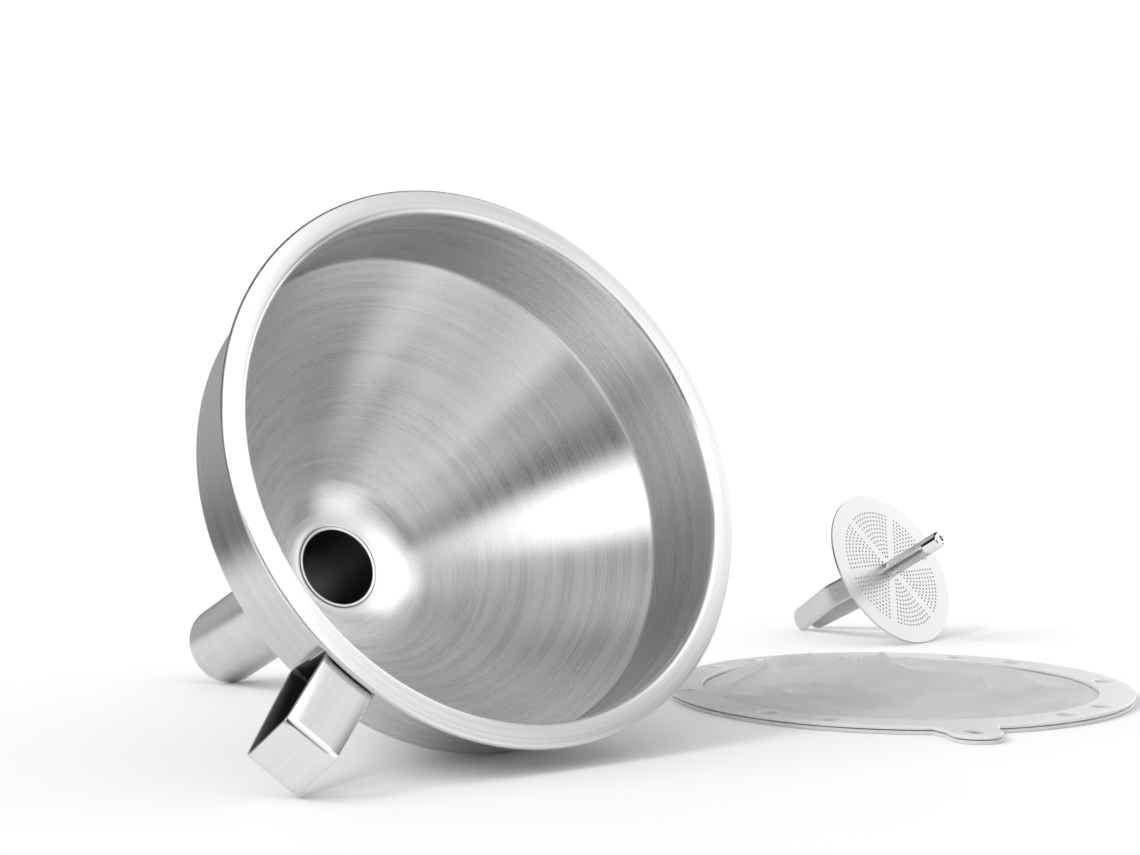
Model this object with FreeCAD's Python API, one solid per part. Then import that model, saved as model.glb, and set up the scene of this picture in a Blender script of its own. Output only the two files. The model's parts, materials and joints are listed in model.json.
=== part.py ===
"""Stainless steel funnel with two loose sieves: a perforated disc strainer and a fine mesh filter.

Each piece is drawn upright about its own axis, in millimetres, and is then laid on the table:
the funnel lies on its side, on the corner of its shoulder, the end of its spout and the tip of its
carrying loop, and the two sieves lie beside its mouth.
Own frames: the funnel's origin is the centre of its rim plane with +Z out of the mouth, the
strainer's is the centre of the top face of its disc with +Z along the post, and the filter's is the
centre of its underside with +Z up.
Row frame: +X is the way that the mouth faces, +Z is up from the table, and the origin is the middle
of the base of the bounding box.
"""

import FreeCAD
import Part

import math
import os

from FreeCAD import Placement, Rotation, Vector

# ---------------------------------------------------------------- funnel, driving dimensions
RIM_DIAMETER = 130.0
MOUTH_BORE = 118.4
FUNNEL_HEIGHT = 135.0
SHEET = 0.6
WALL_DEPTH = 23.6
SHOULDER_RADIUS = 2.0
RIM_RADIUS = 1.4
HEM_FOLD_RADIUS = 0.75
HEM_WIDTH = 3.4
THROAT_DEPTH = 72.2
BOTTOM_RADIUS = 14.0
BOTTOM_FLAT = 0.1
THROAT_LIP_RADIUS = 0.7
COLLAR_LENGTH = 4.3
SPOUT_DIAMETER = 20.7
SPOUT_WALL = 0.9
SPOUT_SEAT_STEP = 0.2
SPOUT_EDGE_RADIUS = 0.3
WELD_LEG = 0.9
WELD_CLEARANCE = 0.3

# ---------------------------------------------------------------- carrying loop
LOOP_WIDTH = 12.9
LOOP_SHEET = 1.0
LOOP_CREASE_REACH = 17.2
LOOP_CREASE_DEPTH = 0.0
LOOP_TIP_REACH = 23.6
LOOP_TIP_DEPTH = 10.6
LOOP_HEM_CLEARANCE = 0.3
LOOP_FOOT_OVERLAP = 8.0
LOOP_BEND_RADIUS = 1.3
LOOP_SIDE_FROM_DOWN = -1
SPOT_WELD_DIAMETER = 2.8
SPOT_WELD_HEIGHT = 0.15
SPOT_WELD_SPACING = 5.6

# ---------------------------------------------------------------- perforated strainer
DISC_DIAMETER = 48.0
DISC_SHEET = 0.6
DISC_MARGIN = 5.2
HOLE_DIAMETER = 0.65
RING_PITCH = 1.32
HOLE_PITCH = 1.32
FIRST_RING_RADIUS = 3.9
SPOKES = 6
SPOKE_WIDTH = 1.5
POST_DIAMETER = 4.8
POST_LENGTH = 20.6
POST_TOP_RADIUS = 0.9
POST_HOLE_DIAMETER = 1.8
SCREW_DIAMETER = 2.5
SCREW_LENGTH = 8.0
SCREW_HEAD_DIAMETER = 4.6
SCREW_HEAD_HEIGHT = 1.5
SCREW_SLOT_WIDTH = 0.7
SCREW_SLOT_DEPTH = 0.7
WASHER_DIAMETER = 6.0
WASHER_SHEET = 0.4
LEG_SHEET = 0.5
LEG_WIDTH = 6.8
LEG_ROOT_SPREAD = 13.4
LEG_KNEE_SPREAD = 19.4
LEG_TIP_SPREAD = 6.6
LEG_KNEE_DROP = 18.3
LEG_TIP_DROP = 39.0
LEG_BEND_RADIUS = 1.2
LEG_KNEE_RADIUS = 6.0
LEG_FLEX_DEGREES = 4.0

# ---------------------------------------------------------------- fine mesh filter
FILTER_DIAMETER = 117.0
FILTER_RING_WIDTH = 9.0
FILTER_RING_SHEET = 0.9
FILTER_CLOTH_SHEET = 0.2
FILTER_CLAMP_WIDTH = 1.9
FILTER_HOLE_DIAMETER = 5.0
FILTER_PAIR_ANGLE = 17.0
FILTER_PAIR_PLACES = (8.0, 88.0, 188.0, 268.0)
FILTER_SINGLE_PLACES = (139.0, 319.0)
TAB_ANGLE = 229.0
TAB_WIDTH = 12.4
TAB_LENGTH = 12.6
TAB_ROOT_WIDTH = 17.0
TAB_HOLE_DIAMETER = 5.6
CLOTH_HEIGHT = 7.5

# ---------------------------------------------------------------- fits and places on the table
JOINT_GAP = 0.03
STRAINER_PLACE = (-74.0, 196.0)
STRAINER_YAW = 8.0
FILTER_PLACE = (-2.0, 126.0)
FILTER_YAW = 101.0

# ---------------------------------------------------------------- sizes that follow from them
WALL_INSIDE = MOUTH_BORE / 2
WALL_OUTSIDE = WALL_INSIDE + SHEET
SPOUT_OUTSIDE = SPOUT_DIAMETER / 2
SPOUT_INSIDE = SPOUT_OUTSIDE - SPOUT_WALL
SPOUT_SEAT = SPOUT_OUTSIDE - SPOUT_SEAT_STEP
COLLAR_INSIDE = SPOUT_SEAT + JOINT_GAP
COLLAR_OUTSIDE = COLLAR_INSIDE + SHEET
COLLAR_END = -THROAT_DEPTH - COLLAR_LENGTH
WELD_END = COLLAR_END - JOINT_GAP - 1.4 * WELD_LEG
DISC_RADIUS = DISC_DIAMETER / 2
FILTER_RADIUS = FILTER_DIAMETER / 2
FILTER_OPENING = FILTER_RADIUS - FILTER_RING_WIDTH


# ---------------------------------------------------------------- drawing helpers
def flat(point):
    """A section point (distance from the axis, height) as a vector in the XZ plane."""
    return Vector(point[0], 0, point[1])


def unit(a, b):
    """The direction from a to b in the section plane."""
    length = math.hypot(b[0] - a[0], b[1] - a[1])
    return (b[0] - a[0]) / length, (b[1] - a[1]) / length


def rounded_path(points, radii):
    """The edges of an open line whose inner corners have the given radii."""
    edges = []
    start = points[0]
    for before, corner, after, radius in zip(points, points[1:], points[2:], radii):
        u, w = unit(corner, before), unit(corner, after)
        if radius > 0:
            half = math.acos(max(-1.0, min(1.0, u[0] * w[0] + u[1] * w[1]))) / 2
            run = radius / math.tan(half)
            bisector = unit((0, 0), (u[0] + w[0], u[1] + w[1]))
            reach = radius / math.sin(half) - radius
            first = (corner[0] + u[0] * run, corner[1] + u[1] * run)
            middle = (corner[0] + bisector[0] * reach, corner[1] + bisector[1] * reach)
            last = (corner[0] + w[0] * run, corner[1] + w[1] * run)
        else:
            first = last = corner
        if math.dist(start, first) > 1e-6:
            edges.append(Part.LineSegment(flat(start), flat(first)).toShape())
        if radius > 0:
            edges.append(Part.Arc(flat(first), flat(middle), flat(last)).toShape())
        start = last
    edges.append(Part.LineSegment(flat(start), flat(points[-1])).toShape())
    return edges


def offset_line(points, radii, distance):
    """The line that runs the given distance to the left of a rounded line, and its radii."""
    moved = []
    ways = [unit(a, b) for a, b in zip(points, points[1:])]
    normals = [(-way[1], way[0]) for way in ways]
    moved.append(tuple(p + distance * n for p, n in zip(points[0], normals[0])))
    new_radii = []
    for corner, way, following, normal, radius in zip(points[1:], ways, ways[1:], normals, radii):
        turn = way[0] * following[1] - way[1] * following[0]
        cosine = way[0] * following[0] + way[1] * following[1]
        slide = -distance * turn / (1 + cosine)
        moved.append(
            (
                corner[0] + distance * normal[0] + slide * way[0],
                corner[1] + distance * normal[1] + slide * way[1],
            )
        )
        new_radii.append(radius - math.copysign(distance, turn) if radius > 0 else 0)
    moved.append(tuple(p + distance * n for p, n in zip(points[-1], normals[-1])))
    return moved, new_radii


def sheet_face(points, radii, thickness):
    """The section of a bent sheet whose given face is the rounded line through points."""
    other, other_radii = offset_line(points, radii, thickness)
    edges = rounded_path(points, radii)
    edges += rounded_path(other, other_radii)
    edges.append(Part.LineSegment(flat(points[0]), flat(other[0])).toShape())
    edges.append(Part.LineSegment(flat(points[-1]), flat(other[-1])).toShape())
    return Part.Face(Part.Wire(Part.__sortEdges__(edges)))


def turned(face):
    """The solid that a section makes when it turns about the axis."""
    return face.revolve(Vector(0, 0, 0), Vector(0, 0, 1), 360)


def turned_polygon(points, radii=None):
    """A solid of revolution from a closed outline, with rounded corners where radii are given."""
    radii = radii or [0] * len(points)
    loop = [points[-1]] + list(points) + [points[0]]
    middle = tuple((a + b) / 2 for a, b in zip(points[-1], points[0]))
    loop = [middle] + list(points) + [middle]
    return turned(Part.Face(Part.Wire(rounded_path(loop, radii))))


def ring(outer, inner, bottom, height):
    """A plain ring about the axis."""
    return Part.makeCylinder(outer, height, Vector(0, 0, bottom)).cut(
        Part.makeCylinder(inner, height + 2, Vector(0, 0, bottom - 1))
    )


# ---------------------------------------------------------------- funnel
def bottom_corner():
    """The radius where the cone's line would meet the bottom's if it were not rounded."""
    start = COLLAR_INSIDE + THROAT_LIP_RADIUS + BOTTOM_FLAT
    corner = start + BOTTOM_RADIUS / 2
    for _ in range(40):
        turn = math.atan2(THROAT_DEPTH - WALL_DEPTH, WALL_INSIDE - corner)
        corner = start + BOTTOM_RADIUS * math.tan(turn / 2)
    return corner


def funnel_line():
    """The inside line of the sheet, from the end of the collar to the end of the hem."""
    hem_drop = 2 * HEM_FOLD_RADIUS
    rim = RIM_DIAMETER / 2
    points = [
        (COLLAR_INSIDE, COLLAR_END),
        (COLLAR_INSIDE, -THROAT_DEPTH),
        (bottom_corner(), -THROAT_DEPTH),
        (WALL_INSIDE, -WALL_DEPTH),
        (WALL_INSIDE, 0),
        (rim, 0),
        (rim, -hem_drop),
        (rim - HEM_WIDTH, -hem_drop),
    ]
    radii = [THROAT_LIP_RADIUS, BOTTOM_RADIUS, SHOULDER_RADIUS, RIM_RADIUS]
    return points, radii + [HEM_FOLD_RADIUS, HEM_FOLD_RADIUS]


def funnel_body():
    """One spun sheet: collar, round bottom, cone, upright wall, and a flat hemmed rim."""
    points, radii = funnel_line()
    return turned(sheet_face(points, radii, -SHEET))


def spout_tube():
    """The straight tube: its stepped end stands in the collar, flush with the funnel's bottom."""
    e = SPOUT_EDGE_RADIUS
    step = WELD_END - WELD_CLEARANCE
    points = [
        (SPOUT_INSIDE, -THROAT_DEPTH),
        (SPOUT_SEAT, -THROAT_DEPTH),
        (SPOUT_SEAT, step),
        (SPOUT_OUTSIDE, step),
        (SPOUT_OUTSIDE, -FUNNEL_HEIGHT),
        (SPOUT_INSIDE, -FUNNEL_HEIGHT),
    ]
    return turned_polygon(points, [e, 0, 0, 0, e, e])


def spout_weld():
    """The weld bead in the corner between the end of the collar and the tube."""
    top = COLLAR_END - JOINT_GAP
    corner = (COLLAR_INSIDE, top)
    outer = (COLLAR_INSIDE + WELD_LEG, top)
    inner = (COLLAR_INSIDE, WELD_END)
    bulge = (
        (outer[0] + inner[0]) / 2 + 0.18 * WELD_LEG,
        (outer[1] + inner[1]) / 2 - 0.18 * WELD_LEG,
    )
    edges = [
        Part.LineSegment(flat(corner), flat(outer)).toShape(),
        Part.Arc(flat(outer), flat(bulge), flat(inner)).toShape(),
        Part.LineSegment(flat(inner), flat(corner)).toShape(),
    ]
    return turned(Part.Face(Part.Wire(edges)))


def loop_line():
    """The middle line of the loop's strip, from the end of one foot to the end of the other."""
    half = LOOP_SHEET / 2
    inner_foot = WALL_OUTSIDE + JOINT_GAP + half
    outer_foot = inner_foot + LOOP_SHEET + JOINT_GAP
    rim_edge = RIM_DIAMETER / 2
    crease = (rim_edge + LOOP_CREASE_REACH, -LOOP_CREASE_DEPTH)
    # The leg from the crease to the foot passes under the hem's outer corner with its clearance.
    rise = 2 * HEM_FOLD_RADIUS - LOOP_CREASE_DEPTH
    to_corner = math.hypot(LOOP_CREASE_REACH, rise)
    fall = math.atan2(rise, LOOP_CREASE_REACH)
    fall += math.asin((half + LOOP_HEM_CLEARANCE) / to_corner)
    top = crease[1] - (crease[0] - outer_foot) * math.tan(fall)
    low = -WALL_DEPTH + SHOULDER_RADIUS + half
    points = [
        (inner_foot, top - LOOP_BEND_RADIUS - 2.4),
        (inner_foot, low),
        (rim_edge + LOOP_TIP_REACH, -LOOP_TIP_DEPTH),
        crease,
        (outer_foot, top),
        (outer_foot, top - LOOP_BEND_RADIUS - LOOP_FOOT_OVERLAP),
    ]
    return points


def loop_face_line():
    """The outer face of the strip and its bend radii."""
    bends = [LOOP_BEND_RADIUS + LOOP_SHEET / 2] * 4
    return offset_line(loop_line(), bends, -LOOP_SHEET / 2)


def carry_loop():
    """A strip bent into a three-cornered loop, its two feet lapped on the wall."""
    points, radii = loop_face_line()
    face = sheet_face(points, radii, LOOP_SHEET)
    face.translate(Vector(0, -LOOP_WIDTH / 2, 0))
    return face.extrude(Vector(0, LOOP_WIDTH, 0))


def spot_welds():
    """Two spot welds that stand a little proud of the outer foot."""
    line = loop_line()
    face_at = line[-1][0] + LOOP_SHEET / 2
    height = (line[-1][1] + line[-2][1]) / 2 - 1
    dots = []
    for side in (-1, 1):
        place = Vector(face_at, side * SPOT_WELD_SPACING / 2, height)
        radius = SPOT_WELD_DIAMETER / 2
        dots.append(Part.makeCone(radius, 0.6 * radius, SPOT_WELD_HEIGHT, place, Vector(1, 0, 0)))
    return Part.makeCompound(dots)


def rest_tilt():
    """How far the funnel's axis rises towards the mouth when it lies down, in degrees."""
    line, radii = offset_line(*funnel_line(), -SHEET)
    slope = math.atan2(line[3][0] - line[2][0], line[3][1] - line[2][1])
    shoulder = radii[2]
    rounded = [
        (line[3][0] - shoulder, line[3][1] + shoulder * math.tan(slope / 2), shoulder),
        (RIM_DIAMETER / 2 - HEM_FOLD_RADIUS, -HEM_FOLD_RADIUS, HEM_FOLD_RADIUS),
    ]
    end = SPOUT_EDGE_RADIUS
    foot = (SPOUT_OUTSIDE - end, -FUNNEL_HEIGHT + end)
    tilts = []
    for across, height, radius in rounded:
        run = math.hypot(across - foot[0], height - foot[1])
        tilts.append(
            math.atan2(across - foot[0], height - foot[1]) + math.asin((radius - end) / run)
        )
    tilt = math.degrees(max(tilts))
    drop = foot[0] * math.cos(math.radians(tilt)) - foot[1] * math.sin(math.radians(tilt)) + end
    return tilt, drop


def loop_depth(angle, tilt):
    """How far the loop reaches below the axis origin when it stands at an angle from down."""
    points, radii = loop_face_line()
    turn, lean = math.radians(angle), math.radians(tilt)
    across = math.cos(turn) * math.cos(lean)
    along = -math.sin(lean)
    side = abs(math.sin(turn)) * math.cos(lean) * LOOP_WIDTH / 2
    reach = math.hypot(across, along)
    deepest = -1e9
    for before, corner, after, radius in zip(points, points[1:], points[2:], radii):
        u, w = unit(corner, before), unit(corner, after)
        half = math.acos(u[0] * w[0] + u[1] * w[1]) / 2
        bisector = unit((0, 0), (u[0] + w[0], u[1] + w[1]))
        centre = [c + b * radius / math.sin(half) for c, b in zip(corner, bisector)]
        deepest = max(deepest, centre[0] * across + centre[1] * along + radius * reach)
    return deepest + side


def loop_angle():
    """The loop's angle from straight down at which its tip touches the table, in degrees."""
    tilt, drop = rest_tilt()
    low, high = 0.0, 90.0
    for _ in range(60):
        middle = (low + high) / 2
        if loop_depth(middle, tilt) > drop:
            low = middle
        else:
            high = middle
    return high


# ---------------------------------------------------------------- perforated strainer
def hole_places():
    """The places of the disc's holes: rings of holes, left out along the spokes."""
    places = []
    last = DISC_RADIUS - DISC_MARGIN - HOLE_DIAMETER / 2
    rings = int((last - FIRST_RING_RADIUS) / RING_PITCH + 1e-9) + 1
    for index in range(rings):
        radius = FIRST_RING_RADIUS + index * RING_PITCH
        sector = 2 * math.pi / SPOKES
        margin = (SPOKE_WIDTH + HOLE_DIAMETER) / 2 / radius
        count = int((sector - 2 * margin) * radius / HOLE_PITCH + 1e-9) + 1
        for spoke in range(SPOKES):
            for k in range(count):
                share = (k + 0.5) / count
                angle = spoke * sector + margin + (sector - 2 * margin) * share
                places.append((radius * math.cos(angle), radius * math.sin(angle)))
    return places


def strainer_disc():
    """A flat disc with rings of fine holes, a plain margin and a screw hole in the middle."""
    top = Vector(0, 0, 1)
    wires = [Part.Wire(Part.makeCircle(DISC_RADIUS, Vector(0, 0, -DISC_SHEET), top))]
    bore = SCREW_DIAMETER / 2 + 2 * JOINT_GAP
    wires.append(Part.Wire(Part.makeCircle(bore, Vector(0, 0, -DISC_SHEET), top)))
    for x, y in hole_places():
        circle = Part.makeCircle(HOLE_DIAMETER / 2, Vector(x, y, -DISC_SHEET), top)
        wires.append(Part.Wire(circle))
    face = Part.makeFace(wires, "Part::FaceMakerBullseye")
    return face.extrude(Vector(0, 0, DISC_SHEET))


def strainer_post():
    """A polished post with a rounded top and a fine hole through it, tapped at its foot."""
    outer, fine = POST_DIAMETER / 2, POST_HOLE_DIAMETER / 2
    tapped = SCREW_DIAMETER / 2 + JOINT_GAP
    depth = SCREW_LENGTH - DISC_SHEET - LEG_SHEET - WASHER_SHEET + 0.6
    points = [
        (tapped, 0),
        (outer, 0),
        (outer, POST_LENGTH),
        (fine, POST_LENGTH),
        (fine, depth),
        (tapped, depth),
    ]
    return turned_polygon(points, [0, 0.15, POST_TOP_RADIUS, 0.15, 0, 0])


def post_screw():
    """The slotted screw that clamps post, disc and leg strip together from below."""
    top_of_head = -DISC_SHEET - LEG_SHEET - WASHER_SHEET
    shank, head = SCREW_DIAMETER / 2, SCREW_HEAD_DIAMETER / 2
    tip = top_of_head + SCREW_LENGTH
    low = top_of_head - SCREW_HEAD_HEIGHT
    points = [(0, low), (head, low), (head, top_of_head), (shank, top_of_head), (shank, tip), (0, tip)]
    solid = turned_polygon(points, [0, 0.7, 0.15, 0, 0.3, 0])
    slot = Part.makeBox(
        SCREW_HEAD_DIAMETER + 2,
        SCREW_SLOT_WIDTH,
        SCREW_SLOT_DEPTH,
        Vector(-head - 1, -SCREW_SLOT_WIDTH / 2, low),
    )
    return solid.cut(slot)


def post_washer():
    """The flat washer under the screw's head."""
    bottom = -DISC_SHEET - LEG_SHEET - WASHER_SHEET
    return ring(WASHER_DIAMETER / 2, SCREW_DIAMETER / 2 + 2 * JOINT_GAP, bottom, WASHER_SHEET)


def leg_hinge():
    """The middle of the bend where a leg leaves the bridge: (distance from the axis, height)."""
    reach = LEG_ROOT_SPREAD / 2
    return reach - LEG_SHEET - LEG_BEND_RADIUS, -DISC_SHEET - LEG_SHEET - LEG_BEND_RADIUS


def leg_line():
    """The outer face of one leg below its bend."""
    across, height = leg_hinge()
    lean = math.atan2(
        (LEG_KNEE_SPREAD - LEG_ROOT_SPREAD) / 2, LEG_KNEE_DROP - DISC_SHEET - LEG_SHEET
    )
    outer = LEG_BEND_RADIUS + LEG_SHEET
    start = (across + outer * math.cos(lean), height + outer * math.sin(lean))
    knee = (LEG_KNEE_SPREAD / 2, -LEG_KNEE_DROP)
    tip = (LEG_TIP_SPREAD / 2, -LEG_TIP_DROP)
    return [start, knee, tip], lean


def leg_bridge():
    """The middle of the leg strip, flat under the disc, with the start of both bends."""
    across, height = leg_hinge()
    outer = LEG_BEND_RADIUS + LEG_SHEET
    _, lean = leg_line()
    play = math.radians(LEG_FLEX_DEGREES + 1)
    end = lean + play
    halves = []
    for side in (-1, 1):
        edges = []
        for radius in (outer, LEG_BEND_RADIUS):
            points = []
            for angle in (math.pi / 2, (math.pi / 2 + end) / 2, end):
                points.append(
                    flat((side * (across + radius * math.cos(angle)), height + radius * math.sin(angle)))
                )
            edges.append(Part.LineSegment(flat((0, points[0].z)), points[0]).toShape())
            edges.append(Part.Arc(*points).toShape())
            halves.append(points[2])
        edges.append(Part.LineSegment(halves[-2], halves[-1]).toShape())
        edges.append(
            Part.LineSegment(
                flat((0, height + outer)), flat((0, height + LEG_BEND_RADIUS))
            ).toShape()
        )
        face = Part.Face(Part.Wire(Part.__sortEdges__(edges)))
        face.translate(Vector(0, -LEG_WIDTH / 2, 0))
        half = face.extrude(Vector(0, LEG_WIDTH, 0))
        strip = half if side == -1 else strip.fuse(half)
    bore = SCREW_DIAMETER / 2 + 2 * JOINT_GAP
    hole = Part.makeCylinder(bore, 4, Vector(0, 0, -DISC_SHEET - LEG_SHEET - 2))
    return strip.cut(hole).removeSplitter()


def leg_blade(side):
    """One spring leg below its bend: out to the knee and back in to a round tip."""
    points, _ = leg_line()
    face = sheet_face(points, [LEG_KNEE_RADIUS], -LEG_SHEET)
    face.translate(Vector(0, -LEG_WIDTH / 2, 0))
    blade = face.extrude(Vector(0, LEG_WIDTH, 0))
    knee, tip = points[1], points[2]
    way = unit(knee, tip)
    radius = LEG_WIDTH / 2
    centre = (tip[0] - radius * way[0], tip[1] - radius * way[1])
    normal = Vector(-way[1], 0, way[0])
    back = Vector(centre[0], 0, centre[1]) - normal * 15
    disc = Part.makeCylinder(radius, 30, back, normal)
    corner = back - Vector(0, radius, 0)
    length = 2 * LEG_TIP_DROP
    upward = Vector(-way[0], 0, -way[1]) * length
    across = Vector(0, 2 * radius, 0)
    outline = [corner, corner + across, corner + across + upward, corner + upward, corner]
    block = Part.Face(Part.makePolygon(outline)).extrude(normal * 30)
    blade = blade.common(disc.fuse(block))
    if side < 0:
        blade.rotate(Vector(0, 0, 0), Vector(0, 0, 1), 180)
    return blade.Solids[0]


def strainer_tilt():
    """How far the post rises when the strainer lies on its disc's edge and both leg tips.

    Returns the tilt in degrees and the height of the top of the disc's middle.
    """
    radius = LEG_WIDTH / 2
    lean = math.atan2((LEG_KNEE_SPREAD - LEG_TIP_SPREAD) / 2, LEG_TIP_DROP - LEG_KNEE_DROP)
    depth = LEG_TIP_DROP - radius * math.cos(lean)
    run = math.hypot(DISC_RADIUS, depth - DISC_SHEET)
    tilt = math.atan2(DISC_RADIUS, depth - DISC_SHEET) - math.asin(radius / run)
    return math.degrees(tilt), depth * math.sin(tilt) + radius


# ---------------------------------------------------------------- fine mesh filter
def filter_outline(bottom):
    """The filter ring's outer outline with its pull tab, as a face."""
    disc = Part.Face(Part.Wire(Part.makeCircle(FILTER_RADIUS, Vector(0, 0, bottom))))
    inner, outer = FILTER_RADIUS - 2, FILTER_RADIUS + TAB_LENGTH
    half, root = TAB_WIDTH / 2, TAB_ROOT_WIDTH / 2
    neck = FILTER_RADIUS + 0.3 * TAB_LENGTH
    corners = [
        Vector(inner, -root, bottom),
        Vector(neck, -half, bottom),
        Vector(outer - half, -half, bottom),
        Vector(outer - half, half, bottom),
        Vector(neck, half, bottom),
        Vector(inner, root, bottom),
    ]
    edges = [Part.LineSegment(a, b).toShape() for a, b in zip(corners[:2], corners[1:3])]
    edges.append(Part.Arc(corners[2], Vector(outer, 0, bottom), corners[3]).toShape())
    edges += [Part.LineSegment(a, b).toShape() for a, b in zip(corners[3:5], corners[4:])]
    edges.append(Part.LineSegment(corners[5], corners[0]).toShape())
    tab = Part.Face(Part.Wire(edges))
    tab.rotate(Vector(0, 0, 0), Vector(0, 0, 1), TAB_ANGLE)
    return disc.fuse(tab).removeSplitter()


def filter_hole_angles():
    """Where the ring's punched holes stand, in degrees."""
    half = FILTER_PAIR_ANGLE / 2
    angles = [place + side * half for place in FILTER_PAIR_PLACES for side in (-1, 1)]
    return angles + list(FILTER_SINGLE_PLACES)


def filter_ring(bottom):
    """One of the two plastic rings that hold the cloth between them."""
    body = filter_outline(bottom).extrude(Vector(0, 0, FILTER_RING_SHEET))
    tools = [Part.makeCylinder(FILTER_OPENING, 4, Vector(0, 0, bottom - 1))]
    middle = FILTER_RADIUS - FILTER_RING_WIDTH / 2
    for angle in filter_hole_angles():
        turn = math.radians(angle)
        place = Vector(middle * math.cos(turn), middle * math.sin(turn), bottom - 1)
        tools.append(Part.makeCylinder(FILTER_HOLE_DIAMETER / 2, 4, place))
    turn = math.radians(TAB_ANGLE)
    reach = FILTER_RADIUS + TAB_LENGTH - TAB_WIDTH / 2
    place = Vector(reach * math.cos(turn), reach * math.sin(turn), bottom - 1)
    tools.append(Part.makeCylinder(TAB_HOLE_DIAMETER / 2, 4, place))
    return body.cut(tools).removeSplitter().Solids[0]


def filter_cloth():
    """The slack cloth as a low closed dome, with its edge held between the rings."""
    low = FILTER_RING_SHEET + JOINT_GAP
    high = low + FILTER_CLOTH_SHEET
    edge = FILTER_OPENING + FILTER_CLAMP_WIDTH
    shoulder = FILTER_OPENING - 0.3
    rise = CLOTH_HEIGHT - high
    radius = (shoulder**2 + rise**2) / (2 * rise)
    half = math.asin(shoulder / radius) / 2
    crown = (radius * math.sin(half), CLOTH_HEIGHT - radius + radius * math.cos(half))
    edges = [
        Part.LineSegment(flat((0, 0.15)), flat((shoulder - 1, 0.15))).toShape(),
        Part.LineSegment(flat((shoulder - 1, 0.15)), flat((shoulder, low))).toShape(),
        Part.LineSegment(flat((shoulder, low)), flat((edge, low))).toShape(),
        Part.LineSegment(flat((edge, low)), flat((edge, high))).toShape(),
        Part.LineSegment(flat((edge, high)), flat((shoulder, high))).toShape(),
        Part.Arc(flat((shoulder, high)), flat(crown), flat((0, CLOTH_HEIGHT))).toShape(),
        Part.LineSegment(flat((0, CLOTH_HEIGHT)), flat((0, 0.15))).toShape(),
    ]
    return turned(Part.Face(Part.Wire(edges)))


# ---------------------------------------------------------------- laying the pieces down
def lying(roll, tilt, yaw, x, y, drop):
    """Lays an upright piece down: its own +X side goes down after a roll about its axis."""
    turn = Rotation(Vector(0, 0, 1), yaw) * Rotation(Vector(0, 1, 0), 90 - tilt)
    return Placement(Vector(x, y, drop), turn * Rotation(Vector(0, 0, 1), roll))


def funnel_place():
    """The funnel on the table, with the middle of its rim above the origin."""
    tilt, drop = rest_tilt()
    return lying(0, tilt, 0, 0, 0, drop)


def strainer_place():
    """The strainer on the table, its two legs side by side."""
    tilt, drop = strainer_tilt()
    return lying(90, tilt, STRAINER_YAW, *STRAINER_PLACE, drop)


def filter_place():
    """The filter flat on the table."""
    return Placement(Vector(*FILTER_PLACE, 0), Rotation(Vector(0, 0, 1), FILTER_YAW))


def placed_pieces():
    """Every piece by its name, on the table, with the rim's middle above the origin."""
    funnel, strainer, mesh = funnel_place(), strainer_place(), filter_place()
    loop_turn = LOOP_SIDE_FROM_DOWN * loop_angle()
    pieces = {
        "funnel_body": (funnel_body(), funnel),
        "spout_tube": (spout_tube(), funnel),
        "spout_weld": (spout_weld(), funnel),
        "strainer_disc": (strainer_disc(), strainer),
        "strainer_post": (strainer_post(), strainer),
        "post_screw": (post_screw(), strainer),
        "post_washer": (post_washer(), strainer),
        "leg_bridge": (leg_bridge(), strainer),
        "spring_leg_a": (leg_blade(1), strainer),
        "spring_leg_b": (leg_blade(-1), strainer),
        "filter_ring_lower": (filter_ring(0), mesh),
        "filter_ring_upper": (
            filter_ring(FILTER_RING_SHEET + FILTER_CLOTH_SHEET + 2 * JOINT_GAP),
            mesh,
        ),
        "filter_cloth": (filter_cloth(), mesh),
    }
    for name, shape in (("carry_loop", carry_loop()), ("loop_spot_welds", spot_welds())):
        shape.rotate(Vector(0, 0, 0), Vector(0, 0, 1), loop_turn)
        pieces[name] = (shape, funnel)
    for name, (shape, place) in pieces.items():
        shape.Placement = place.multiply(shape.Placement)
        pieces[name] = shape
    return pieces


def base_shift(pieces):
    """The move that puts the origin at the middle of the bounding box's base."""
    box = FreeCAD.BoundBox()
    for shape in pieces.values():
        box.add(shape.optimalBoundingBox(False, False))
    return Vector(-(box.XMin + box.XMax) / 2, -(box.YMin + box.YMax) / 2, 0)


def main():
    """Builds every piece and writes one STEP file for each."""
    os.makedirs("parts", exist_ok=True)
    pieces = placed_pieces()
    shift = base_shift(pieces)
    for name, shape in pieces.items():
        shape.translate(shift)
        if not shape.isValid() or shape.Volume <= 0:
            raise ValueError(f"{name} is not a sound solid")
        shape.exportStep(f"parts/{name}.step")
        print(f"{name}: {len(shape.Solids)} solid(s), {shape.Volume:.1f} mm3")
    tilts = (rest_tilt()[0], loop_angle(), strainer_tilt()[0])
    print("funnel tilt {:.2f}, loop angle {:.2f}, strainer tilt {:.2f}".format(*tilts))


if __name__ == "__main__":
    main()
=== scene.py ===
"""A steel funnel lying on a table with its two loose sieves, dressed for a studio picture.

The funnel's wall, spout, weld and carrying loop, the strainer's post and leg strips, and the
filter's rings and slack cloth are modelled here, each in its own upright frame in metres, and are
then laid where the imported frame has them. The strainer's disc, screw and washer keep their CAD
shape and get a finish.
"""

from __future__ import annotations

import json
import logging
import math
from dataclasses import dataclass, field
from enum import Enum
from typing import Iterable, Sequence

import bmesh
import bpy
from mathutils import Matrix, Vector
from mathutils import noise as mnoise


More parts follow.
